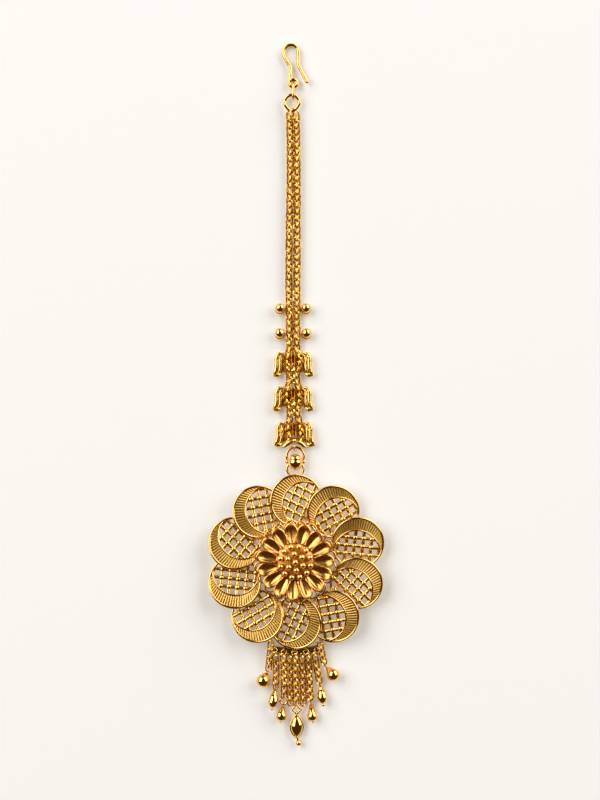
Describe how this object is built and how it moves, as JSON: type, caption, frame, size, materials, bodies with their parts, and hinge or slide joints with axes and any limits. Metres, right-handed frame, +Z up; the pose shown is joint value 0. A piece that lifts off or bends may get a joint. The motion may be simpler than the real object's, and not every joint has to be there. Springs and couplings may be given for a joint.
{
  "type": "maang tikka",
  "caption": "Maang tikka hair jewel: hair hook, twin link chain with tulip spacers, layered round flower pendant of overlapping filigree petals, and a fringe of short chains with drops",
  "frame": {"origin": "centre of the bounding box's underside, on the surface that the jewel lies on", "axes": "+Y from the lowest drop towards the hair hook, +Z up out of the flower's face, +X to the right as seen from above"},
  "size_m": [0.0401, 0.16, 0.0077],
  "materials": {
    "polished_gold": "mirror polished gold plating",
    "bright_gold": "bright gold plating with soft hand-worked dents",
    "filigree_gold": "gold plating over fine ribbed wire",
    "chain_gold": "polished gold-plated links"
  },
  "bodies": {
    "root": {"centre_ring": "polished_gold", "chain_left": "chain_gold", "chain_right": "chain_gold", "connector": "polished_gold", "daisy": "bright_gold", "drop_a": "polished_gold", "drop_b": "polished_gold", "drop_c": "polished_gold", "drop_d": "polished_gold", "drop_e": "polished_gold", "drop_f": "polished_gold", "drop_g": "polished_gold", "drop_ring_c": "polished_gold", "end_link": "polished_gold", "fringe_bar": "filigree_gold", "fringe_chain_a": "chain_gold", "fringe_chain_b": "chain_gold", "fringe_chain_c": "chain_gold", "fringe_chain_c2": "chain_gold", "fringe_chain_d": "chain_gold", "fringe_chain_d2": "chain_gold", "fringe_chain_e": "chain_gold", "fringe_chain_f": "chain_gold", "fringe_chain_g": "chain_gold", "granule_cluster": "bright_gold", "hair_hook": "polished_gold", "hook_link": "polished_gold", "hub": "polished_gold", "pendant_lug": "polished_gold", "petal_01": "filigree_gold", "petal_02": "filigree_gold", "petal_03": "filigree_gold", "petal_04": "filigree_gold", "petal_05": "filigree_gold", "petal_06": "filigree_gold", "petal_07": "filigree_gold", "petal_08": "filigree_gold", "petal_09": "filigree_gold", "petal_10": "filigree_gold", "scroll_layer": "filigree_gold", "side_bead_01": "polished_gold", "side_bead_02": "polished_gold", "side_bead_03": "polished_gold", "side_bead_04": "polished_gold", "top_ring": "polished_gold", "tulip_01": "bright_gold", "tulip_02": "bright_gold", "tulip_03": "bright_gold"}
  },
  "joints": []
}
